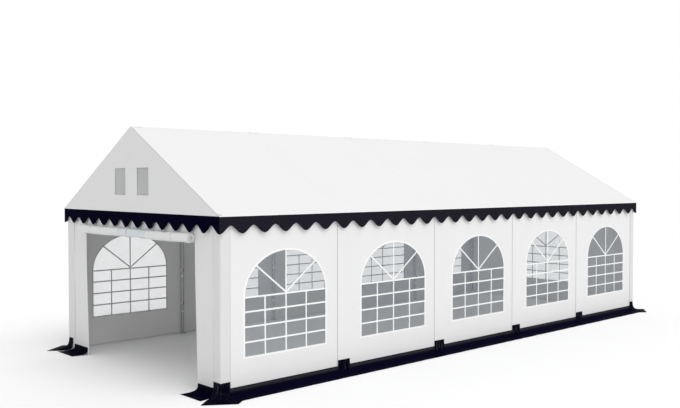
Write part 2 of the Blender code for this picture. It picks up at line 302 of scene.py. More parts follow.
def add_tube(start, end, radius, sides=TUBE_SIDES):
    """A round tube from start to end, open and hollow at both ends."""
    start, end = Vector(start), Vector(end)
    along = end - start
    bpy.ops.mesh.primitive_cylinder_add(
        vertices=sides, radius=radius, depth=along.length, location=(start + end) / 2,
        rotation=along.to_track_quat("Z", "Y").to_euler())
    tube = bpy.context.object
    bpy.ops.object.mode_set(mode="EDIT")
    pick_faces(tube, lambda face: len(face.verts) == sides)
    bpy.ops.mesh.inset(thickness=TUBE_WALL, use_individual=True)
    bpy.ops.mesh.inset(thickness=0.0001, depth=-1.5 * radius, use_individual=True)
    bpy.ops.object.mode_set(mode="OBJECT")
    bpy.ops.object.shade_smooth_by_angle(angle=EDGE_ANGLE)
    return tube


def add_block(middle, size, bevel, segments=2):
    """A block with rounded edges."""
    bpy.ops.mesh.primitive_cube_add(size=1, location=middle, scale=size)
    block = bpy.context.object
    bpy.ops.object.transform_apply(location=False, rotation=False, scale=True)
    modify(block, "BEVEL", width=bevel, segments=segments)
    bpy.ops.object.shade_smooth_by_angle(angle=EDGE_ANGLE)
    return block


def cut_holes(piece, middles, radius, depth):
    """Drills upright round holes through a piece."""
    for middle in middles:
        bpy.ops.mesh.primitive_cylinder_add(vertices=24, radius=radius, depth=depth, location=middle)
        drill = bpy.context.object
        pick(piece)
        modify(piece, "BOOLEAN", operation="DIFFERENCE", object=drill)
        bpy.data.objects.remove(drill, do_unlink=True)


def add_band(middle, radius, width, thickness):
    """A band of webbing round an upright tube."""
    bpy.ops.mesh.primitive_cylinder_add(
        vertices=32, radius=radius, depth=width, end_fill_type="NOTHING", location=middle)
    band = bpy.context.object
    modify(band, "SOLIDIFY", thickness=thickness, offset=1)
    bpy.ops.object.shade_smooth_by_angle(angle=EDGE_ANGLE)
    return band


galvanised = Finish("galvanised_steel", Metallic=1.0)
spangle = galvanised.node("TexVoronoi", {}, {"Vector": galvanised.place(), "Scale": 90.0}, "Color")
spangle = galvanised.node("SeparateColor", {}, {"Color": spangle})
dulling = galvanised.cloud(0.12, (1, 1, 0.25), detail=6.0)
galvanised.tint(spangle * 0.55 + dulling * 0.45, (0.34, 0.35, 0.37), (0.58, 0.59, 0.61),
                Roughness=0.30 + dulling * 0.22)
galvanised.bump(spangle, 0.0002, 0.4)

webbing = Finish("strap_webbing", Sheen_Weight=0.3)
ribs = webbing.stripes("Z", 130.0)
webbing.tint(ribs, (0.66, 0.66, 0.67), (0.80, 0.80, 0.81), Roughness=0.75 + ribs * 0.15)
webbing.bump(ribs, 0.0006)

buckle_plastic = Finish("buckle_plastic", 0.4)
grain = buckle_plastic.cloud(0.002, detail=4.0)
buckle_plastic.tint(grain, (0.20, 0.20, 0.21), (0.27, 0.27, 0.28), Roughness=0.42 + grain * 0.16)
buckle_plastic.bump(grain, 0.0001, 0.5)


def add_leg(node, y):
    """The right-hand leg at y: its steel with foot plate and weld, its straps and its buckles."""
    low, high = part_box(node)
    plate_middle = Vector(((high.x + low.x) / 2, (high.y + low.y) / 2, PLATE_THICKNESS / 2))
    tube = add_tube((LEG_X, y, TUBE_START_Z), (LEG_X, y, high.z), TUBE_R)
    plate = add_block(plate_middle, (high.x - low.x, high.y - low.y, PLATE_THICKNESS), PLATE_EDGE)
    holes = [plate_middle + Vector((PEG_HOLE_SHIFT - PEG_HOLE_OFF, way * PEG_HOLE_OFF, 0))
             for way in (-1, 1)]
    cut_holes(plate, holes, PEG_HOLE_R, 5 * PLATE_THICKNESS)
    bpy.ops.mesh.primitive_torus_add(
        major_radius=TUBE_R, minor_radius=WELD_R, major_segments=48, minor_segments=8,
        location=(LEG_X, y, WELD_Z))
    weld = bpy.context.object
    bpy.ops.object.shade_smooth()
    steel = joined("leg_steel", [tube, plate, weld], galvanised)
    inner = LEG_X - TUBE_R - STRAP_THICKNESS - BUCKLE_SIZE[0] / 2
    bands = [add_band((LEG_X, y, z), TUBE_R + STRAP_GAP, STRAP_WIDTH, STRAP_THICKNESS)
             for z in STRAP_HEIGHTS]
    buckles = []
    for z in STRAP_HEIGHTS[1::2]:
        buckles.append(add_block((inner, y, z), BUCKLE_SIZE, BUCKLE_EDGE, 3))
        buckles.append(add_block((inner - BUCKLE_SIZE[0] / 2, y, z), BUCKLE_SLOT, SLOT_EDGE))
    straps = joined("leg_straps", bands, webbing)
    return steel, straps, joined("leg_buckles", buckles, buckle_plastic)


for first, numbers in ((0, (0, FRAMES - 1)), (2, range(1, FRAMES - 1))):
    model = add_leg(f"leg_right_{first + 1}", LEG_Y[first])
    for i in numbers:
        for side in ("right", "left"):
            flips = ("x" if side == "left" else "") + ("y" if i == FRAMES - 1 else "")
            shift = (0, 0 if "y" in flips else LEG_Y[i] - LEG_Y[first], 0)
            node = f"leg_{side}_{i + 1}"
            for part, ending in zip(model, ("_tube", "_straps", "_buckles")):
                made = copied(part, node + ending, shift, flips)
                put_up(made, "steel_tube", *([node] if ending == "_tube" else []))
    for part in model:
        bpy.data.objects.remove(part, do_unlink=True)

# Roof frame
# Each frame has two welded rafters with a sleeve for every long tube, and a stub over
# each leg. Screws with hexagon heads clamp the tubes and legs in the sleeves.

SLEEVE_R = 0.0275
SCREW_R = 0.0065
SCREW_HEAD = 0.006
SCREW_EDGE = 0.0008
SCREW_INSET = 0.022
WASHER = 0.003
WASHER_REACH = 1.35
SEAT = 0.006
TIE_SLEEVE = 0.05
TIE_SCREW = 0.03

ridge_low, ridge_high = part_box("ridge_tube")
LONG_TUBES = {"ridge_tube": Vector((0, 0, (ridge_low.z + ridge_high.z) / 2))}
for name in ("roof_tube_left", "roof_tube_right", "eave_tube_left", "eave_tube_right"):
    low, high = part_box(name)
    LONG_TUBES[name] = Vector(((low.x + high.x) / 2, 0, (low.z + high.z) / 2))
LEG_TOP_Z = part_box("leg_right_3")[1].z


def add_screw(spot, way):
    """A hexagon-headed screw and its washer on a sleeve, facing along way."""
    way = Vector(way)
    turn = way.to_track_quat("Z", "Y").to_euler()
    bpy.ops.mesh.primitive_cylinder_add(vertices=6, radius=SCREW_R, depth=SCREW_HEAD, rotation=turn,
                                        location=Vector(spot) + way * (SCREW_HEAD / 2 + 0.002))
    head = bpy.context.object
    modify(head, "BEVEL", width=SCREW_EDGE)
    bpy.ops.mesh.primitive_cylinder_add(vertices=16, radius=SCREW_R * WASHER_REACH, depth=WASHER,
                                        rotation=turn, location=Vector(spot) + way * 0.001)
    return [head, bpy.context.object]


def add_truss(name, low_y, high_y, y):
    """A frame's rafters, sleeves and stubs, at the frame's own y."""
    pieces = []
    top = LONG_TUBES["ridge_tube"] + Vector((0, y, 0))
    for word, side in (("left", -1), ("right", 1)):
        foot = LONG_TUBES[f"eave_tube_{word}"] + Vector((0, y, 0))
        slope = (top - foot).normalized()
        pieces.append(add_tube(foot + slope * SLEEVE_R, top - slope * SLEEVE_R, TUBE_R))
        pieces.append(add_tube(foot - Vector((0, 0, SEAT)), (foot.x, y, LEG_TOP_Z), SLEEVE_R))
        pieces += add_screw((foot.x - side * SLEEVE_R, y, LEG_TOP_Z + SCREW_INSET), (-side, 0, 0))
    for tube in LONG_TUBES.values():
        start, end = tube + Vector((0, low_y, 0)), tube + Vector((0, high_y, 0))
        pieces.append(add_tube(start, end, SLEEVE_R))
        for end_y in (low_y, high_y):
            if abs(end_y - y) > SLEEVE_R + 0.01:
                inwards = SCREW_INSET if end_y < y else -SCREW_INSET
                pieces += add_screw((tube.x, end_y + inwards, tube.z - SLEEVE_R), (0, 0, -1))
    return joined(name, pieces, galvanised)


for i in range(FRAMES):
    node = f"roof_truss_{i + 1}"
    if i in (0, 1, FRAMES - 1):
        low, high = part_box(node)
        truss = add_truss(node + "_steel", low.y, high.y, LEG_Y[i])
    else:
        truss = copied(bpy.data.objects["roof_truss_2_steel"], node + "_steel", (0, LEG_Y[i] - LEG_Y[1], 0))
    put_up(truss, "steel_tube", node)
for name, middle in LONG_TUBES.items():
    reach = Vector((0, TUBE_END_Y, 0))
    tube = add_tube(middle - reach, middle + reach, TUBE_R)
    put_up(joined(name + "_steel", [tube], galvanised), "steel_tube", name)
for name in ("tie_front", "tie_back"):
    low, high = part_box(name)
    y, z = (low.y + high.y) / 2, (low.z + high.z) / 2
    pieces = [add_tube((low.x, y, z), (high.x, y, z), TUBE_R)]
    for end, way in ((low.x, 1), (high.x, -1)):
        pieces.append(add_tube((end, y, z), (end + way * TIE_SLEEVE, y, z), SLEEVE_R))
        pieces += add_screw((end + way * TIE_SCREW, y, z - SLEEVE_R), (0, 0, -1))
    put_up(joined(name + "_steel", pieces, galvanised), "steel_tube", name)

# Roof cover
# One sheet of white coated polyester from eave to eave, laid over the ridge and pulled
# tight. Its bays are welded with lapped seams, its edges are hemmed, and round piping
# runs along each eave.

CLOTH = 0.0012
CLOTH_EDGE_ANGLE = radians(50)
SEAM_LIFT = 0.0009
ROOF_SAG = 0.007
RIDGE_ROUND = 0.004
SEAM_WIDTH = 0.035
HEM_WIDTH = 0.05
PIPING_R = 0.0055
ROOF_ACROSS = 64
ROOF_ALONG = 150

ROOF_X, ROOF_Y, RIDGE_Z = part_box("roof_cover")[1]
EAVE_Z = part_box("gable_front")[0].z
ROOF_FALL = (RIDGE_Z - EAVE_Z) / ROOF_X
MID_TUBE_X = LONG_TUBES["roof_tube_right"].x


def lerp(start, end, part):
    return start + (end - start) * part


def ripple(x, y, z, size, height):
    """Gentle lumps of about size metres, up to height metres either way."""
    return height * noise.noise(Vector((x, y, z)) / size)


def add_grid(across, along, spot):
    """A grid whose points, from 0 to 1 each way, go to spot(u, v). Edges that meet are closed."""
    bpy.ops.mesh.primitive_grid_add(
        x_subdivisions=across, y_subdivisions=along, size=1, location=(0.5, 0.5, 0))
    grid = bpy.context.object
    bpy.ops.object.transform_apply(location=True)
    for vertex in grid.data.vertices:
        vertex.co = spot(vertex.co.x, vertex.co.y)
    bpy.ops.object.mode_set(mode="EDIT")
    bpy.ops.mesh.select_all(action="SELECT")
    bpy.ops.mesh.remove_doubles(threshold=0.0001)
    bpy.ops.object.mode_set(mode="OBJECT")
    grid.data.update()
    return grid


def add_cloth(across, along, spot, facing, thickness=CLOTH):
    """A sheet of cloth through spot(u, v), with its thickness behind the side that faces out."""
    cloth = add_grid(across, along, spot)
    if sum(face.normal.dot(Vector(facing)) * face.area for face in cloth.data.polygons) < 0:
        cloth.data.flip_normals()
    thicken(cloth, thickness)
    return cloth


def thicken(sheet, thickness):
    """Gives a sheet its thickness, behind the side that it shows."""
    pick(sheet)
    modify(sheet, "SOLIDIFY", thickness=thickness, offset=-1)
    bpy.ops.object.shade_smooth_by_angle(angle=CLOTH_EDGE_ANGLE)


def roof_spot(x, y, lift=0.0):
    """A point on the roof's outer face, which sags a little between the tubes under it."""
    height = RIDGE_Z - sqrt((x * ROOF_FALL) ** 2 + RIDGE_ROUND ** 2)
    free = sin(pi * (y - LEG_Y[0]) / BAY) ** 2 * sin(pi * x / MID_TUBE_X) ** 2
    creases = ripple(x, y * 0.4, 1, 0.35, 0.0012) * free ** 0.5
    return Vector((x, y, height - ROOF_SAG * free + creases + lift))


def coated_cloth(name, light, dark, roughness, threads=(1, 1, 0), specular=0.35):
    """Polyester cloth with a smooth coating: faint clouding, a fine weave and soft dents."""
    finish = Finish(name, specular)
    dents = finish.cloud(0.06, detail=3.0)
    finish.tint(finish.cloud(0.7, detail=6.0), light, dark, Roughness=roughness + dents * 0.08)
    weave = finish.stripes("DIAGONAL", 42.0, threads) + finish.stripes("Z", 42.0)
    finish.bump(weave * 0.04 + dents, 0.0022, 0.5)
    return finish


roof_cloth = coated_cloth("roof_coated_cloth", (0.82, 0.82, 0.82), (0.79, 0.79, 0.79), 0.42, (0, 1, 0))
weld_white = coated_cloth("welded_strip_white", (0.90, 0.90, 0.90), (0.87, 0.87, 0.87), 0.32)


def roof_strip(x0, x1, y0, y1, across, along):
    """A strip of a second layer, welded on the roof cover."""
    def spot(u, v):
        return roof_spot(lerp(x0, x1, u), lerp(y0, y1, v), SEAM_LIFT)
    return add_cloth(across, along, spot, (0, 0, 1))


cover = [add_cloth(ROOF_ACROSS, ROOF_ALONG,
                   lambda u, v: roof_spot(lerp(-ROOF_X, ROOF_X, u), lerp(-ROOF_Y, ROOF_Y, v)), (0, 0, 1))]
for y in LEG_Y[1:-1]:
    cover.append(roof_strip(-ROOF_X, ROOF_X, y - SEAM_WIDTH / 2, y + SEAM_WIDTH / 2, ROOF_ACROSS, 2))
for way in (-1, 1):
    cover.append(roof_strip(-ROOF_X, ROOF_X, way * (ROOF_Y - HEM_WIDTH), way * ROOF_Y, ROOF_ACROSS, 2))
    cover.append(roof_strip(way * (ROOF_X - HEM_WIDTH), way * ROOF_X, -ROOF_Y, ROOF_Y, 2, ROOF_ALONG))
cover = joined("roof_cover_cloth", cover, roof_cloth)
put_up(cover, "roof_fabric", "roof_cover")

for word, way in (("left", -1), ("right", 1)):
    pipe = add_tube((way * ROOF_X, -ROOF_Y, EAVE_Z), (way * ROOF_X, ROOF_Y, EAVE_Z), PIPING_R, 14)
    put_up(joined(f"eave_piping_{word}", [pipe], weld_white), "roof_fabric")

# Gables
# A triangle of the same cloth closes each end of the roof. Two upright vents are cut in
# it, each edged with a welded frame and closed from behind with fine woven mesh.

VENT_X = 0.31
VENT_WIDTH = 0.30
VENT_LOW_Z = 2.42
VENT_TOP_Z = 2.79
VENT_EDGE = 0.022
MESH_PITCH = 0.0045
MESH_WIRE = 0.0017
MESH_LAP = 0.03
MESH_BEHIND = 0.007
GABLE_BULGE = 0.004

VENT_MIDDLE_Z = (VENT_LOW_Z + VENT_TOP_Z) / 2
GABLE_TALL = RIDGE_Z - EAVE_Z

# Painted shade: the same cloth as the roof, in a darker copy for the shade on the end faces.
gable_shaded_cloth = coated_cloth("gable_shaded_coated_cloth", (0.745, 0.748, 0.746), (0.715, 0.720, 0.716), 0.45)

vent_mesh = Finish("vent_mesh_thread", 0.3)
thread = vent_mesh.cloud(0.004)
vent_mesh.tint(thread, (0.56, 0.57, 0.57), (0.68, 0.69, 0.69), Roughness=0.6 + thread * 0.2)
vent_mesh.bump(thread, 0.0003)


def fade(inside, reach):
    """From 0 at an edge to 1 at reach metres inside it."""
    return min(1.0, max(0.0, inside / reach))


def gable_bulge(x, z):
    """How far the gable's cloth stands in or out at a point."""
    return ripple(x, 3, z * 0.6, 0.45, GABLE_BULGE)


def in_vent(face):
    middle = face.calc_center_median()
    return abs(abs(middle.x) - VENT_X) < VENT_WIDTH / 2 and VENT_LOW_Z < middle.z < VENT_TOP_Z


def cut_sheet(point, normal, clear=False):
    """Cuts a new edge across the sheet in edit mode, and drops what is past it if clear."""
    bpy.ops.mesh.select_all(action="SELECT")
    bpy.ops.mesh.bisect(plane_co=point, plane_no=normal, clear_outer=clear)


def add_gable():
    """The front gable's cloth, with its two openings."""
    y = -ROOF_Y
    bpy.ops.mesh.primitive_grid_add(x_subdivisions=72, y_subdivisions=24, size=1,
                                    location=(0, y, (RIDGE_Z + EAVE_Z) / 2), rotation=(pi / 2, 0, 0))
    cloth = bpy.context.object
    cloth.scale = (2 * ROOF_X, GABLE_TALL, 1)
    settle(cloth)
    bpy.ops.object.mode_set(mode="EDIT")
    top = RIDGE_Z - RIDGE_ROUND - 0.002
    for way in (-1, 1):
        cut_sheet((0, y, top), (way * ROOF_FALL, 0, 1), clear=True)
        for x in (way * (VENT_X - VENT_WIDTH / 2), way * (VENT_X + VENT_WIDTH / 2)):
            cut_sheet((x, y, 0), (1, 0, 0))
    for z in (VENT_LOW_Z, VENT_TOP_Z):
        cut_sheet((0, y, z), (0, 0, 1))
    pick_faces(cloth, in_vent)
    bpy.ops.mesh.delete(type="FACE")
    bpy.ops.object.mode_set(mode="OBJECT")
    for vertex in cloth.data.vertices:
        x, z = vertex.co.x, vertex.co.z
        free = min(fade(top - z - abs(x) * ROOF_FALL, 0.25), fade(z - EAVE_Z, 0.15))
        vertex.co.y += gable_bulge(x, z) * free
    thicken(cloth, CLOTH)
    return cloth


def add_vent_edge(x):
    """The welded frame round one vent opening."""
    bpy.ops.mesh.primitive_plane_add(
        size=1, location=(x, -ROOF_Y - SEAM_LIFT, VENT_MIDDLE_Z), rotation=(pi / 2, 0, 0))
    edge = bpy.context.object
    edge.scale = (VENT_WIDTH + 2 * VENT_EDGE, VENT_TOP_Z - VENT_LOW_Z + 2 * VENT_EDGE, 1)
    settle(edge)
    bpy.ops.object.mode_set(mode="EDIT")
    bpy.ops.mesh.select_all(action="SELECT")
    bpy.ops.mesh.inset(thickness=VENT_EDGE)
    bpy.ops.mesh.delete(type="FACE")
    bpy.ops.object.mode_set(mode="OBJECT")
    for vertex in edge.data.vertices:
        vertex.co.y += gable_bulge(vertex.co.x, vertex.co.z)
    thicken(edge, CLOTH)
    return edge


def add_wires(count, middle, size, step):
    """A row of parallel wires, count of them, with their middle at a place."""
    start = middle - Vector(step) * (count - 1) / 2
    bpy.ops.mesh.primitive_cube_add(size=1, location=start, scale=size)
    wires = bpy.context.object
    settle(wires)
    modify(wires, "ARRAY", count=count, use_relative_offset=False, use_constant_offset=True,
           constant_offset_displace=step)
    return wires


gable = [add_gable()] + [add_vent_edge(x) for x in (-VENT_X, VENT_X)]
gable = joined("gable_front_cloth", gable, gable_shaded_cloth)
mesh_wide, mesh_tall = VENT_WIDTH + MESH_LAP, VENT_TOP_Z - VENT_LOW_Z + MESH_LAP
wires = []
for x in (-VENT_X, VENT_X):
    spot = Vector((x, -ROOF_Y + CLOTH + MESH_BEHIND, VENT_MIDDLE_Z))
    wires.append(add_wires(int(mesh_wide / MESH_PITCH), spot,
                           (MESH_WIRE, MESH_WIRE, mesh_tall), (MESH_PITCH, 0, 0)))
    wires.append(add_wires(int(mesh_tall / MESH_PITCH), spot + Vector((0, MESH_WIRE, 0)),
                           (mesh_wide, MESH_WIRE, MESH_WIRE), (0, 0, MESH_PITCH)))
wires = joined("vent_mesh_front_wires", wires, vent_mesh)
for name, cloth, mesh in (("front", gable, wires),
                          ("back", copied(gable, "gable_back_cloth", mirrored="y"),
                           copied(wires, "vent_mesh_back_wires", mirrored="y"))):
    put_up(cloth, "roof_fabric", f"gable_{name}")
    put_up(mesh, "vent_mesh", f"vent_mesh_{name}")

# Valance
# A band of black cloth sewn under the eaves and across both ends. Its foot is cut in
# round scallops and edged with black tape, and it hangs a little wavy.

SIDE_SCALLOPS = 30
END_SCALLOPS = 13
SCALLOP_DEPTH = 0.103
SCALLOP_ROUNDING = 1.08
SCALLOP_CUT_SHARE = 0.4
SCALLOP_STEPS = 12
VALANCE_DOWN = 9
VALANCE_WAVE = 0.006
VALANCE_HELD = 0.15
TAPE_WIDTH = 0.010
TAPE_THICKNESS = 0.003

VALANCE_LOW_Z, VALANCE_TOP_Z = [corner.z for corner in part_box("valance_right")]
VALANCE_TALL = VALANCE_TOP_Z - VALANCE_LOW_Z

# Painted light: the side valances get a lighter, greyer copy of the ends' black cloth, standing in for the
# lamp's light on the tent's side.
end_valance_cloth = coated_cloth("valance_end_cloth", (0.0010, 0.0008, 0.0085),
                                 (0.0020, 0.0016, 0.0115), 0.60, specular=0.005)
side_valance_painted_lit_cloth = coated_cloth("valance_side_painted_lit_cloth", (0.0120, 0.0115, 0.0180),
                                  (0.0150, 0.0143, 0.0210), 0.60, specular=0.01)


def scallop_foot(along):
    """Height of the valance's lower edge, at a number of scallops along it."""
    off_tip = 2 * abs(along - round(along))
    rise = (1 - cos(pi * off_tip / SCALLOP_ROUNDING)) / (1 - cos(pi / SCALLOP_ROUNDING))
    return VALANCE_LOW_Z + SCALLOP_DEPTH * rise


def add_valance(name, half, scallops, stand, finish):
    """A valance from -half to half. stand(along, out, z) puts a point on its side of the tent."""
    def hang(u, z, lift):
        down = (VALANCE_TOP_Z - z) / VALANCE_TALL
        along = lerp(-half, half, u)
        wave = ripple(along, half, down * 0.05, 0.16, VALANCE_WAVE)
        wave += ripple(along, half, 9, 0.6, VALANCE_WAVE)
        return stand(along, wave * down ** 1.4 * fade(half - abs(along), VALANCE_HELD) + lift, z)

    def band_spot(u, v):
        return hang(u, lerp(scallop_foot(u * scallops), VALANCE_TOP_Z, v), 0)

    def tape_spot(u, v):
        return hang(u, scallop_foot(u * scallops) + (v - 0.1) * TAPE_WIDTH, SEAM_LIFT)

    steps, facing = scallops * SCALLOP_STEPS, stand(0, 1, 0) - stand(0, 0, 0)
    band = add_cloth(steps, VALANCE_DOWN, band_spot, facing)
    tape = add_cloth(steps, 1, tape_spot, facing, TAPE_THICKNESS)
    return joined(name, [band, tape], finish)


end_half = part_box("valance_front")[1].x
side_valance = add_valance("valance_right_cloth", ROOF_Y, SIDE_SCALLOPS,
                           lambda along, out, z: Vector((ROOF_X + out, along, z)), side_valance_painted_lit_cloth)
end_valance = add_valance("valance_front_cloth", end_half, END_SCALLOPS,
                          lambda along, out, z: Vector((along, -ROOF_Y - out, z)), end_valance_cloth)
for side, cloth, half in (("right", side_valance, ROOF_Y),
                          ("left", copied(side_valance, "valance_left_cloth", mirrored="x"), ROOF_Y),
                          ("front", end_valance, end_half),
                          ("back", copied(end_valance, "valance_back_cloth", mirrored="y"), end_half)):
    put_up(cloth, "valance_fabric", f"valance_{side}")
    2 * half
    2 * half * (VALANCE_TALL - SCALLOP_CUT_SHARE * SCALLOP_DEPTH)

# Side walls
# Five panels of white coated cloth a side, hung from the eave tube and zipped at each leg.
# Each has an arched opening with a welded white border. WINDOW_SHIFTS lists how far it
# lies off the middle of its bay, from the front bay to the back one.

PANEL_HALF = BAY / 2
WINDOW_HALF = 0.66
SILL_Z = 0.457
SPRING_Z = 1.19
ARCH_RISE = 0.545
RING_POINTS = 200
PANEL_RINGS = 16
SILL_SHARE = 0.26
UPRIGHT_SHARE = 0.17
HELD_WIDTH = 0.12
SKIRTED_Z = 0.13
SLACK = 0.005
SIDE_HOLD = 0.35
TOP_HOLD = 0.5
FOOT_HOLD = 0.3
BORDER_WIDTH = 0.024
BORDER_LAP = 0.001
WINDOW_SHIFTS = {"right": (-0.012, -0.019, -0.038, -0.055, -0.055), "left": (0.040, 0, 0, 0, 0)}

WALL_LOW, WALL_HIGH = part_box("wall_right_3")
SIDE_X, WALL_LOW_Z, WALL_TOP_Z = WALL_HIGH.x, WALL_LOW.z, WALL_HIGH.z
END_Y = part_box("wall_back")[1].y

wall_cloth = coated_cloth("wall_coated_cloth", (0.795, 0.795, 0.795), (0.765, 0.765, 0.765), 0.42)


def right_side(y):
    """Gives stand(across, z, out): a point on the right side wall, with across counted from y."""
    return lambda across, z, out: Vector((SIDE_X + out, y + across, z))


def on_back(across, z, out):
    return Vector((-across, END_Y + out, z))


def on_front(across, z, out):
    return Vector((across, -END_Y - out, z))


def outwards(stand):
    """The way that a wall faces."""
    return stand(0, 1, 1) - stand(0, 1, 0)


def window_edge(part, grow):
    """A point round a window opening that is grown by so much, from its lower left corner."""
    half, sill = WINDOW_HALF + grow, SILL_Z - grow
    arch_start = SILL_SHARE + UPRIGHT_SHARE
    if part <= SILL_SHARE:
        return lerp(-half, half, part / SILL_SHARE), sill
    if part <= arch_start:
        return half, lerp(sill, SPRING_Z, (part - SILL_SHARE) / UPRIGHT_SHARE)
    if part <= 1 - UPRIGHT_SHARE:
        turn = pi * (part - arch_start) / (1 - UPRIGHT_SHARE - arch_start)
        return half * cos(turn), SPRING_Z + (ARCH_RISE + grow) * sin(turn)
    return -half, lerp(SPRING_Z, sill, (part - 1 + UPRIGHT_SHARE) / UPRIGHT_SHARE)


def panel_edge(part, half):
    """The point of a panel's outer edge that goes with a point of its window's edge."""
    right_end, top_end = 0.53, 0.73
    if part <= SILL_SHARE:
        return lerp(-half, half, part / SILL_SHARE), WALL_LOW_Z
    if part <= right_end:
        return half, lerp(WALL_LOW_Z, WALL_TOP_Z, (part - SILL_SHARE) / (right_end - SILL_SHARE))
    if part <= top_end:
        return lerp(half, -half, (part - right_end) / (top_end - right_end)), WALL_TOP_Z
    return -half, lerp(WALL_TOP_Z, WALL_LOW_Z, (part - top_end) / (1 - top_end))


def belly(across, z, half, turn):
    """How far a panel stands out between its held edges. turn makes each panel hang its own way."""
    free = fade(half - HELD_WIDTH - abs(across), SIDE_HOLD)
    free *= fade(WALL_TOP_Z - z, TOP_HOLD) * fade(z - SKIRTED_Z, FOOT_HOLD)
    folds = ripple(across, z * 0.25, turn, 0.17, 0.0018) + ripple(across, z, turn + 5, 0.7, 0.004)
    return SLACK * free * 0.5 + folds * free


def add_window_panel(stand, half, turn, shift=0.0):
    """A wall panel with its window off its middle by shift, and the border round the opening."""
    def cloth_spot(u, v):
        inner, outer = window_edge(u, 0), panel_edge(u, half)
        across, z = lerp(inner[0] + shift, outer[0], v), lerp(inner[1], outer[1], v)
        return stand(across, z, belly(across, z, half, turn))

    def border_spot(u, v):
        across, z = window_edge(u, lerp(-BORDER_LAP, BORDER_WIDTH, v))
        across += shift
        return stand(across, z, belly(across, z, half, turn) + SEAM_LIFT)

    cloth = add_cloth(RING_POINTS, PANEL_RINGS, cloth_spot, outwards(stand))
    border = add_cloth(RING_POINTS, 2, border_spot, outwards(stand))
    return [paint(cloth, wall_cloth), paint(border, weld_white)]


def side_bays():
    """Each side bay: its side, its number, and its stand, half width, turn and window shift."""
    for i in range(FRAMES - 1):
        for side, shifts in WINDOW_SHIFTS.items():
            yield side, i + 1, (right_side(LEG_Y[i] + PANEL_HALF), PANEL_HALF, 10.0 * i, shifts[i])


for side, number, bay in side_bays():
    cloth = joined(f"wall_{side}_{number}_cloth", add_window_panel(*bay))
    mirror(cloth, "x" if side == "left" else "")
    put_up(cloth, "wall_fabric", f"wall_{side}_{number}")

# Windows
# Clear film is welded behind each opening. White strips welded on the film draw a grid of
# panes below the spring of the arch and a fan of three bars above it.

FILM_LAP = 0.02
FILM_RINGS = 8
FILM_BEHIND = 0.0022
FILM_THICKNESS = 0.0006
BAR_WIDTH = 0.021
BAR_THICKNESS = 0.0008
BAR_STAND = 0.0003
BAR_HEIGHTS = (0.633, 0.820, 1.005, 1.183)
BAR_ACROSS = (-0.348, -0.012, 0.328)
FAN_START_Z = 1.20
FAN_TURNS = (radians(38), radians(142))

film = Finish("window_film_clear", 0.35, IOR=1.45)
haze = film.cloud(0.35, detail=4.0)
smears = film.cloud(0.05, (1, 1, 0.4), detail=2.0)
film.tint(haze, (0.43, 0.48, 0.53), (0.49, 0.54, 0.59), Roughness=0.10 + smears * 0.12,
          Alpha=0.12 + haze * 0.08)
film.bump(smears, 0.002, 0.3)


def add_window(stand, half, turn, shift=0.0):
    """The film of one window, off the panel's middle by shift, with its welded bars."""
    def film_out(across, z):
        waves = ripple(across, z, turn + 2, 0.4, 0.0015)
        return belly(across, z, half, turn) - FILM_BEHIND - abs(waves)

    def film_spot(u, v):
        across, z = window_edge(u, FILM_LAP)
        across, z = lerp(0, across, v) + shift, lerp(SPRING_Z, z, v)
        return stand(across, z, film_out(across, z))

    def add_bar(start, end):
        start, end = Vector(start), Vector(end)
        aside = Vector((start.y - end.y, end.x - start.x)).normalized() * BAR_WIDTH

        def bar_spot(u, v):
            across, z = start.lerp(end, v) + aside * (u - 0.5) + Vector((shift, 0))
            return stand(across, z, film_out(across, z) + BAR_THICKNESS + BAR_STAND)
        return add_cloth(1, max(2, round((end - start).length / 0.04)), bar_spot, facing, BAR_THICKNESS)

    facing = outwards(stand)
    clear = paint(add_cloth(RING_POINTS // 2, FILM_RINGS, film_spot, facing, FILM_THICKNESS), film)
    bars = [add_bar((-WINDOW_HALF, z), (WINDOW_HALF, z)) for z in BAR_HEIGHTS]
    for across in BAR_ACROSS:
        top = SPRING_Z + ARCH_RISE if across == BAR_ACROSS[1] else SPRING_Z
        bars.append(add_bar((across, SILL_Z), (across, top)))
    for way in FAN_TURNS:
        reach = 1 / sqrt((cos(way) / WINDOW_HALF) ** 2 + (sin(way) / ARCH_RISE) ** 2)
        end = (reach * cos(way), SPRING_Z + reach * sin(way))
        bars.append(add_bar((BAR_ACROSS[1], FAN_START_Z), end))
    return [clear] + [paint(bar, weld_white) for bar in bars]


for side, number, bay in side_bays():
    pane = joined(f"window_{side}_{number}", add_window(*bay))
    mirror(pane, "x" if side == "left" else "")
    put_up(pane, "window_film", f"window_film_{side}")

# Back wall
# One panel of the same cloth closes the far end, with the same window in its middle. It
# hangs from the end tie, and a zip runs up it at each side.

BACK_HALF = 1.99
BACK_TURN = 70.0
BACK_ZIP_X = 1.47
ZIP_WIDTH = 0.007
ZIP_TAPE_WIDTH = 0.032
ZIP_THICKNESS = 0.0016
TEETH_STAND = 0.0030
ZIP_TAPE_STAND = 0.0014
ZIP_UNDER_VALANCE = 0.2

zip_tape = Finish("zip_tape", 0.3)
teeth = zip_tape.stripes("Z", 60.0)
zip_tape.tint(teeth, (0.50, 0.50, 0.51), (0.62, 0.62, 0.63), Roughness=0.5 + teeth * 0.2)
zip_tape.bump(teeth, 0.001)


def add_upright(stand, across, width, low_z, top_z, out, thickness=CLOTH, rows=30):
    """An upright strip. out(part, z) says how far it stands out, with part 0 to 1 across it."""
    def spot(u, v):
        z = lerp(low_z, top_z, v)
        return stand(across + (u - 0.5) * width, z, out(u, z))
    columns = max(2, round(width / 0.012))
    return add_cloth(columns, rows, spot, outwards(stand), thickness)


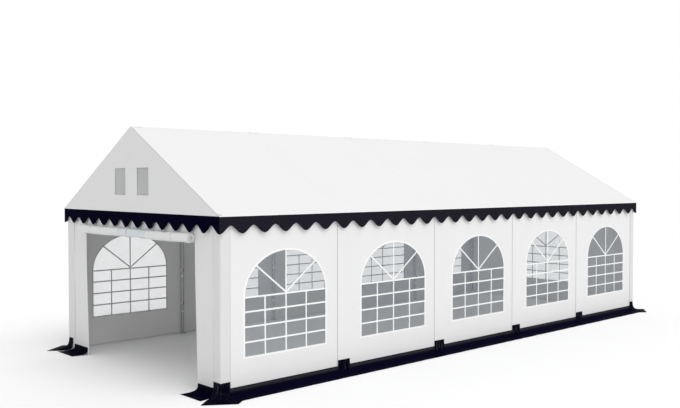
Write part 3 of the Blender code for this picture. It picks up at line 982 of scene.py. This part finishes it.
def add_zip(across):
    """A zip up the back wall: its teeth, and the tape on each side of them."""
    def out(lift):
        return lambda part, z: belly(across, z, BACK_HALF, BACK_TURN) + lift
    top_z = VALANCE_LOW_Z + ZIP_UNDER_VALANCE
    row = add_upright(on_back, across, ZIP_WIDTH, WALL_LOW_Z, top_z, out(TEETH_STAND), ZIP_THICKNESS)
    tape = add_upright(on_back, across, ZIP_TAPE_WIDTH, WALL_LOW_Z, top_z, out(ZIP_TAPE_STAND))
    return [paint(row, zip_tape), paint(tape, wall_cloth)]


back = add_window_panel(on_back, BACK_HALF, BACK_TURN) + add_zip(-BACK_ZIP_X) + add_zip(BACK_ZIP_X)
back = put_up(joined("wall_back_cloth", back), "wall_fabric", "wall_back")
back_window = joined("window_back", add_window(on_back, BACK_HALF, BACK_TURN))
put_up(back_window, "window_film", "window_film_back")

# Cover strips
# A flap of wall cloth covers the joint of two panels at each leg, with a zip along one
# edge. A wider flap is wrapped round each corner leg.

STRIP_WIDTH = 0.22
STRIP_SHIFT = -0.018
STRIP_LOW_Z = 0.187
STRIP_TOP_Z = VALANCE_TOP_Z - 0.004
STRIP_STAND = 0.0042
STRIP_DOME = 0.0045
STRIP_ZIP_STAND = 0.0034
CORNER_SIDE_Y = 4.895
CORNER_END_X = 1.907
LEFT_CORNER_END_X = 1.83
CORNER_ROUND = 0.014
CORNER_STEPS = 30


def strip_out(part, z, turn):
    """How far a cover strip stands off the wall: domed over the joint, pulled in at its edges."""
    folds = ripple(part * STRIP_WIDTH, z * 0.3, turn, 0.06, 0.0012)
    return STRIP_STAND + (STRIP_DOME + folds) * sin(pi * part) ** 0.8 * fade(z - STRIP_LOW_Z + 0.05, 0.3)


for i in range(1, FRAMES - 1):
    stand, zip_across = right_side(LEG_Y[i] + STRIP_SHIFT), -(STRIP_WIDTH + ZIP_WIDTH) / 2
    strip = add_upright(stand, 0, STRIP_WIDTH, STRIP_LOW_Z, STRIP_TOP_Z,
                        lambda part, z: strip_out(part, z, 3.0 * i), rows=50)
    edge = add_upright(stand, zip_across, ZIP_WIDTH, STRIP_LOW_Z, STRIP_TOP_Z,
                       lambda part, z: STRIP_ZIP_STAND, ZIP_THICKNESS)
    strip = joined(f"cover_strip_right_{i + 1}", [paint(strip, wall_cloth), paint(edge, zip_tape)])
    for side, cloth in (("right", strip), ("left", copied(strip, f"cover_strip_left_{i + 1}", mirrored="x"))):
        put_up(cloth, "wall_fabric")


# Painted shade: a still darker copy of the wall cloth for the corner flaps, for the shade on the corners.
corner_shaded_cloth = coated_cloth("corner_shaded_coated_cloth", (0.71, 0.71, 0.712), (0.68, 0.68, 0.682), 0.42)


def add_corner_strip(name, end_x):
    """The flap round the right front corner, out to end_x on the front, with a zip along each edge."""
    side_x, end_y = SIDE_X + STRIP_STAND, END_Y + STRIP_STAND
    bend_x, bend_y = side_x - CORNER_ROUND, CORNER_ROUND - end_y
    straight = -bend_y - CORNER_SIDE_Y
    bend = pi / 2 * CORNER_ROUND
    length = straight + bend + bend_x - end_x

    def corner_spot(way, out, z):
        if way <= straight:
            return Vector((side_x + out, -CORNER_SIDE_Y - way, z))
        if way <= straight + bend:
            turn, reach = (way - straight) / CORNER_ROUND, CORNER_ROUND + out
            return Vector((bend_x + reach * cos(turn), bend_y - reach * sin(turn), z))
        return Vector((bend_x - (way - straight - bend), -end_y - out, z))

    def cloth_spot(u, v):
        z = lerp(STRIP_LOW_Z, STRIP_TOP_Z, v)
        folds = 0.002 + ripple(u * 0.3, z * 0.35, 8, 0.09, 0.0014)
        return corner_spot(u * length, folds * sin(2 * pi * min(u, 1 - u)), z)

    def zip_spot(middle):
        return lambda u, v: corner_spot(
            middle + (u - 0.5) * ZIP_WIDTH, -0.0010, lerp(STRIP_LOW_Z, STRIP_TOP_Z, v))

    flap = [paint(add_cloth(CORNER_STEPS, 50, cloth_spot, (1, -1, 0)), corner_shaded_cloth)]
    for way, facing in ((-ZIP_WIDTH / 2, (1, 0, 0)), (length + ZIP_WIDTH / 2, (0, -1, 0))):
        flap.append(paint(add_cloth(1, 30, zip_spot(way), facing, ZIP_THICKNESS), zip_tape))
    return joined(name, flap), length


for place, end_x, flips, neighbour in (
        ("right_front", CORNER_END_X, "", "wall_right_1_cloth"),
        ("left_front", LEFT_CORNER_END_X, "x", "wall_left_1_cloth"),
        ("right_back", CORNER_END_X, "y", "wall_right_5_cloth"),
        ("left_back", CORNER_END_X, "xy", "wall_left_5_cloth")):
    flap, length = add_corner_strip("corner_strip_" + place, end_x)
    put_up(mirror(flap, flips), "wall_fabric")

# Front end panels
# A narrow panel of wall cloth stands at each side of the doorway. Its free edge has the
# broad hem that the door panel closes on, and it hangs in soft upright folds.

JAMB_HEM = 0.040
END_PANEL_OUTER_X = 1.99
END_FOLD = 0.0075
END_SLACK = 0.0045
DOOR_ROLL_Z = 1.84
JAMB_LEAN = 0.032
JAMB_MIDDLE_Z = 0.8


def add_end_panel(jamb_x, outer_x, turn):
    """A front end panel from the doorway's edge to the corner."""
    width = outer_x - jamb_x

    def fold_out(across, z):
        inside = max(0.0, 1 - (across - jamb_x) / width)
        free = sin(pi * min(0.5, inside * 0.9)) * fade(DOOR_ROLL_Z - z, 0.4) * fade(z - SKIRTED_Z, 0.25)
        folds = ripple(across, z * 0.12, turn, 0.13, END_FOLD)
        folds += ripple(across, z * 0.5, turn + 4, 0.5, 0.005)
        return END_SLACK * free + folds * free * 0.75

    def spot(u, v, lift=0.0):
        across, z = lerp(jamb_x, outer_x, u), lerp(WALL_LOW_Z, WALL_TOP_Z, v)
        sway = JAMB_LEAN * (z - JAMB_MIDDLE_Z) * (1 - u)
        return on_front(across - sway, z, fold_out(across, z) + lift)

    def hem_spot(u, v):
        return spot(u * JAMB_HEM / abs(width), v, SEAM_LIFT)

    columns = round(abs(width) / 0.011)
    pieces = [add_cloth(columns, 70, spot, (0, -1, 0)), add_cloth(3, 70, hem_spot, (0, -1, 0))]
    return [paint(piece, end_shaded_cloth) for piece in pieces]


# Painted shade: a darker copy of the wall cloth for the front end panels and the rolled door, for the shade
# that falls on the front.
end_shaded_cloth = coated_cloth("end_shaded_coated_cloth", (0.745, 0.748, 0.746), (0.715, 0.718, 0.716), 0.42)
for side, way, turn in (("right", 1, 41.0), ("left", -1, 39.0)):
    node = f"wall_front_{side}"
    low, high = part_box(node)
    jamb_x, outer_x = low.x if way > 0 else high.x, way * END_PANEL_OUTER_X
    panel = joined(node + "_cloth", add_end_panel(jamb_x, outer_x, turn))
    put_up(panel, "wall_fabric", node)

# Rolled door
# The front panel is zipped out, rolled up round itself from its foot, outside the doorway,
# and tied up with three straps. Its film window shows as a bluish stretch of the roll.

ROLL_PITCH = 0.0062
ROLL_TURNS = 8.4
ROLL_STEPS = 28
HANG_STEPS = 8
ROLL_ACROSS = 80
ROLL_SAG = 0.007
ROLL_WAVE = 0.008
ROLL_CREASE = 0.0016
DOOR_CLOTH = 0.0040
TELESCOPE = 0.010
ROLLED_FILM_X = (-0.27, 0.50)
STRAP_X = (-1.12, -0.03, 1.10)
DOOR_STRAP_WIDTH = 0.028
DOOR_STRAP_STAND = 0.0025
DOOR_STRAP_DROP = 0.04

roll_low, roll_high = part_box("door_front_rolled")
DOOR_BACK_Y = roll_high.y
ROLL_R = (roll_high.y - roll_low.y) / 2
ROLL_MIDDLE = Vector((0, DOOR_BACK_Y - ROLL_R, roll_low.z + ROLL_R))

rolled_film = coated_cloth("rolled_door_film", (0.60, 0.64, 0.68), (0.66, 0.70, 0.73), 0.18,
                           specular=0.5)


def roll_height(x):
    """Height of the roll's axis, which sags a little between the straps."""
    part = (x - roll_low.x) / (roll_high.x - roll_low.x)
    return ROLL_MIDDLE.z - ROLL_SAG * sin(2 * pi * part) ** 2


def door_spot(u, v):
    """A point of the rolled door: v runs from its top edge, down its face and round its turns."""
    step = v * (HANG_STEPS + ROLL_TURNS * ROLL_STEPS)
    turn = max(0.0, (step - HANG_STEPS) / ROLL_STEPS)
    inset = TELESCOPE * (1 - turn / ROLL_TURNS)
    x = lerp(roll_low.x + inset, roll_high.x - inset, u)
    z = roll_height(x)
    if step < HANG_STEPS:
        return Vector((x, DOOR_BACK_Y - DOOR_CLOTH, lerp(roll_high.z, z, step / HANG_STEPS)))
    way = -2 * pi * turn
    radius = ROLL_R - DOOR_CLOTH - ROLL_PITCH * turn
    across, up = cos(way), sin(way)
    tied = fade(min(abs(x - strap) for strap in STRAP_X), 0.2)
    loose = ripple(x * 0.5, across * ROLL_R, up * ROLL_R, 0.07, ROLL_WAVE) * tied
    loose += ripple(x, across * ROLL_R, up * ROLL_R, 0.028, ROLL_CREASE)
    radius += (loose - 0.4 * ROLL_WAVE * tied) * fade(turn, 0.25) * radius / ROLL_R
    return Vector((x, ROLL_MIDDLE.y + radius * across, z + radius * up))


def add_door_strap(x):
    """A strap sewn down the hanging part of the door, and tied round the roll."""
    reach = ROLL_R + DOOR_STRAP_STAND
    low, high = ROLL_MIDDLE.z, roll_high.z - DOOR_STRAP_DROP
    sewn_y = DOOR_BACK_Y - DOOR_CLOTH - STRAP_THICKNESS

    def tied_spot(u, v):
        turn = 2 * pi * v
        return Vector((x + (u - 0.5) * DOOR_STRAP_WIDTH, ROLL_MIDDLE.y + reach * cos(turn),
                       roll_height(x) + reach * sin(turn)))

    def sewn_spot(u, v):
        return Vector((x + (u - 0.5) * DOOR_STRAP_WIDTH, sewn_y, lerp(low, high, v)))

    tied, sewn = add_grid(2, 64, tied_spot), add_grid(2, 4, sewn_spot)
    for strap in (tied, sewn):
        pick(strap)
        bpy.ops.object.mode_set(mode="EDIT")
        bpy.ops.mesh.select_all(action="SELECT")
        bpy.ops.mesh.normals_make_consistent(inside=False)
        bpy.ops.object.mode_set(mode="OBJECT")
        thicken(strap, STRAP_THICKNESS)
    return joined("door_strap", [tied, sewn])


door_steps = round(HANG_STEPS + ROLL_TURNS * ROLL_STEPS)
door = add_cloth(ROLL_ACROSS, door_steps, door_spot, (0, -1, 0), DOOR_CLOTH)
door = joined("door_front_rolled_cloth", [door], end_shaded_cloth, rolled_film)
for face in door.data.polygons:
    off_axis = Vector((face.center.y - ROLL_MIDDLE.y, face.center.z - roll_height(face.center.x))).length
    in_film = ROLLED_FILM_X[0] < face.center.x < ROLLED_FILM_X[1]
    on_roll = ROLL_R - 3 * ROLL_PITCH < off_axis < ROLL_R + ROLL_WAVE
    face.material_index = 1 if in_film and on_roll else 0
put_up(door, "wall_fabric", "door_front_rolled")
straps = joined("door_straps", [add_door_strap(x) for x in STRAP_X], roof_cloth)
put_up(straps, "wall_fabric")

# Ground skirts
# Black cloth sewn along the foot of each wall bends out over the ground. Tabs of it cover
# the foot of each cover strip, and a pointed apron wraps round each corner.

SKIRT_TOP_Z = 0.110
SKIRT_SPREAD = 0.226
SKIRT_STAND = 0.0030
SKIRT_CLOTH = 0.0018
SKIRT_DOWN = 18
SKIRT_WAVE = 0.0035
SKIRT_BEND = 2.0
SKIRT_STEP = 0.045
FACE_GAP = 0.0003
APRON_TOP_Z = 0.190
APRON_LIFT = 0.0035
APRON_ROUND = 0.030
APRON_END_X = 1.905
APRON_SIDE_Y = 4.895
APRON_END_GROUND = (1.985, 5.19)
APRON_END_TIP = (2.12, 5.36)
APRON_SIDE_TIP = (2.37, 5.00)
APRON_SIDE_GROUND = (2.27, 4.86)
APRON_STEPS = 24
APRON_FOLD = 0.005
APRON_SPREAD = 0.32
FOLDS = 8
SKIRT_LAP = 0.03
SKIRT_END_X = 1.925
SKIRT_FLARE = 0.035
LEFT_END_X = 1.855
LEFT_FLARE = 0.117
LEFT_INSET = 0.037
DOOR_FLARE = 0.052
TAB_LOW_Z = 0.042
TAB_FLARE = 0.017
FLARE_FALL = 8


def skirt_finish(name, dark, lit):
    """Cloth of the colour dark, with a painted highlight of the colour lit in a band where the skirt bends
    out, stronger and weaker in patches along it.
    """
    finish = Finish(name, 0.005)
    weave = finish.cloud(0.004, detail=2.0)
    # Painted highlight: a band from 4.5 to 10.6 cm high, where the skirt bends out, lightened towards the
    # colour lit.
    rise, fall = [finish.step(finish.height(), low, high, "SMOOTHSTEP")
                  for low, high in ((0.045, 0.090), (0.094, 0.106))]
    painted_highlight = (rise - fall) * (0.75 + finish.cloud(0.11, detail=3.0) * 0.5)
    finish.tint(painted_highlight, dark, lit, Roughness=0.36 + weave * 0.08)
    finish.bump(weave, 0.0003, 0.4)
    return finish


# Lit and shaded copies of one black cloth: the side skirts are painted lighter with a strong painted
# highlight, and the end skirts darker with a faint one, as shade on the ends.
side_skirt_painted_lit_cloth = skirt_finish("side_skirt_painted_lit_cloth", (0.0024, 0.0022, 0.0120), (0.034, 0.034, 0.038))
end_skirt_shaded_cloth = skirt_finish("end_skirt_shaded_cloth", (0.0004, 0.0003, 0.0079), (0.0040, 0.0038, 0.0100))

# Painted highlights: pale streaks painted along the creases of the aprons and tabs, fading out towards the
# ground.
creased_cloth = Finish("creased_skirt_painted_highlight_cloth", 0.005)
creases = creased_cloth.node("TexNoise", {}, {
    "Vector": creased_cloth.place((1, 1, 0.12)), "Scale": 55.0, "Detail": 2.0, "Distortion": 0.4})
painted_crease_highlights = creased_cloth.step(creases, 0.50, 0.68)
painted_crease_highlights = painted_crease_highlights * creased_cloth.step(creased_cloth.height(), 0.0, 0.09)
creased_cloth.tint(painted_crease_highlights, (0.0012, 0.0010, 0.0082), (0.034, 0.034, 0.039),
                   Roughness=0.34 + creases * 0.1)
creased_cloth.bump(creases, 0.0008, 0.5)


def skirt_spot(column, turn, lift):
    """A point of a skirt that hangs down its wall (turn 0) and bends out over the ground."""
    top, ground, height = Vector(column[0]), Vector(column[1]), column[2]
    spread, opened = (ground - top).length, 1 - cos(turn)
    off_face = Vector((height * cos(turn), SKIRT_BEND * spread * opened ** (SKIRT_BEND - 1) * sin(turn)))
    off_face = off_face.normalized() * lift
    spot = top + (ground - top).normalized() * (spread * opened ** SKIRT_BEND + off_face.x)
    return Vector((*spot, height * (1 - sin(turn)) + off_face.y))


def between(columns, way):
    """The column at a way along the columns, counted in columns."""
    index = min(int(way), len(columns) - 2)
    first, second, part = columns[index], columns[index + 1], way - index
    return [Vector(a).lerp(Vector(b), part) for a, b in zip(first[:2], second[:2])] + [
        lerp(first[2], second[2], part)]


def add_skirt(columns, steps, turn, lift=SKIRT_STAND, folds=0.0):
    """A sheet lofted through columns, each with its top, its place on the ground and its height."""
    first_top, first_ground = Vector(columns[0][0]), Vector(columns[0][1])
    length = (Vector(columns[-1][0]) - first_top).length

    def spot(u, v):
        column = between(columns, u * (len(columns) - 1))
        x, y = column[0]
        ripples = ripple(x * 1.2, y * 1.2, turn + v * 0.12, 0.16, 2 * SKIRT_WAVE) * v ** 1.5
        ripples *= fade(length * min(u, 1 - u), 0.12)
        ripples += ripple(x, y, turn + 9, 0.035, 0.0008) * (1 - v)
        ripples += folds * (1 - cos(2 * pi * FOLDS * u)) * sin(pi * v) * fade(min(u, 1 - u), 0.25)
        return skirt_spot(column, pi / 2 * v, lift + max(ripples, -0.3 * lift))
    return add_cloth(steps, SKIRT_DOWN, spot, (*(first_ground - first_top), 1), SKIRT_CLOTH)


def add_apron():
    """The apron round the right front corner."""
    face_x, face_y = SIDE_X + STRIP_STAND, END_Y + STRIP_STAND
    mid_tip = (Vector(APRON_END_TIP) + Vector(APRON_SIDE_TIP)) / 2
    plan = [((APRON_END_X, face_y), APRON_END_GROUND),
            ((face_x - APRON_ROUND, face_y), APRON_END_TIP),
            ((face_x - 0.3 * APRON_ROUND, face_y - 0.3 * APRON_ROUND), mid_tip),
            ((face_x, face_y - APRON_ROUND), APRON_SIDE_TIP),
            ((face_x, APRON_SIDE_Y), APRON_SIDE_GROUND)]
    columns = [((top[0], -top[1]), (ground[0], -ground[1]), APRON_TOP_Z) for top, ground in plan]
    return add_skirt(columns, 4 * APRON_STEPS, 3.0, APRON_LIFT, APRON_FOLD)


def add_tab(y):
    """The black tab at the foot of the right side's cover strip at y."""
    def spot(u, v):
        across = y + (u - 0.5) * STRIP_WIDTH * lerp(1.0, 1.04, v)
        folds = 0.0022 * sin(2 * pi * (u * 2.6 + y)) + ripple(u, v * 0.3, y, 0.2, 0.002)
        out = STRIP_STAND + 0.003 + STRIP_DOME * sin(pi * u) + TAB_FLARE * v ** 2 + folds * (0.3 + v)
        return Vector((SIDE_X + out, across, lerp(APRON_TOP_Z, TAB_LOW_Z, v)))
    return add_cloth(30, 12, spot, (1, 0, 0), SKIRT_CLOTH)


def straight_columns(start, end, steps, flares=(0, 0)):
    """Columns along a straight wall, from one top point to another, spreading to its outside."""
    start, end = Vector(start), Vector(end)
    along = (end - start).normalized()
    aside = Vector((along.y, -along.x)) * SKIRT_SPREAD
    columns = []
    for step in range(steps + 1):
        part = step / steps
        flare = flares[0] * (1 - part) ** FLARE_FALL + flares[1] * part ** FLARE_FALL
        top = start.lerp(end, part)
        columns.append((tuple(top), tuple(top + aside + along * flare), SKIRT_TOP_Z))
    return columns


def profile_length(height, spread):
    """Length of a skirt's cloth from its top to its edge on the ground."""
    column = ((0, 0), (spread, 0), height)
    points = [skirt_spot(column, pi / 2 * step / 40, 0) for step in range(41)]
    return sum((second - first).length for first, second in zip(points, points[1:]))


skirt_x = SIDE_X + FACE_GAP
side_reach = APRON_SIDE_Y + SKIRT_LAP
side_run = straight_columns((skirt_x, -side_reach), (skirt_x, side_reach), 40)
apron = paint(add_apron(), creased_cloth)
side_skirt = [paint(add_skirt(side_run, round(2 * side_reach / SKIRT_STEP), 5.0), side_skirt_painted_lit_cloth),
              apron, copied(apron, "apron_back", mirrored="y")]
side_skirt += [paint(add_tab(y + STRIP_SHIFT), creased_cloth) for y in LEG_Y[1:-1]]
side_skirt = joined("skirt_right_cloth", side_skirt)
plain_width = profile_length(SKIRT_TOP_Z, SKIRT_SPREAD)
apron_area = 0.5 * profile_length(APRON_TOP_Z, APRON_SPREAD)
for side, cloth in (("right", side_skirt), ("left", copied(side_skirt, "skirt_left_cloth", mirrored="x"))):
    put_up(cloth, "ground_skirt", f"skirt_{side}")

skirt_y = END_Y + FACE_GAP
foot_lean = JAMB_LEAN * (JAMB_MIDDLE_Z - SKIRT_TOP_Z)
left_edge_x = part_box("wall_front_left")[1].x + foot_lean - LEFT_INSET
right_edge_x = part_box("wall_front_right")[0].x + foot_lean
for place, y, start_x, end_x, flares in (
        ("front_left", -skirt_y, -LEFT_END_X, left_edge_x, (-LEFT_FLARE, -DOOR_FLARE)),
        ("front_right", -skirt_y, right_edge_x, SKIRT_END_X, (-DOOR_FLARE, SKIRT_FLARE)),
        ("back", skirt_y, SKIRT_END_X, -SKIRT_END_X, (-SKIRT_FLARE, SKIRT_FLARE))):
    length = abs(end_x - start_x)
    columns = straight_columns((start_x, y), (end_x, y), 20, flares)
    cloth = add_skirt(columns, round(length / SKIRT_STEP) + 6, length)
    put_up(joined(f"skirt_{place}_cloth", [cloth], end_skirt_shaded_cloth), "ground_skirt", f"skirt_{place}")
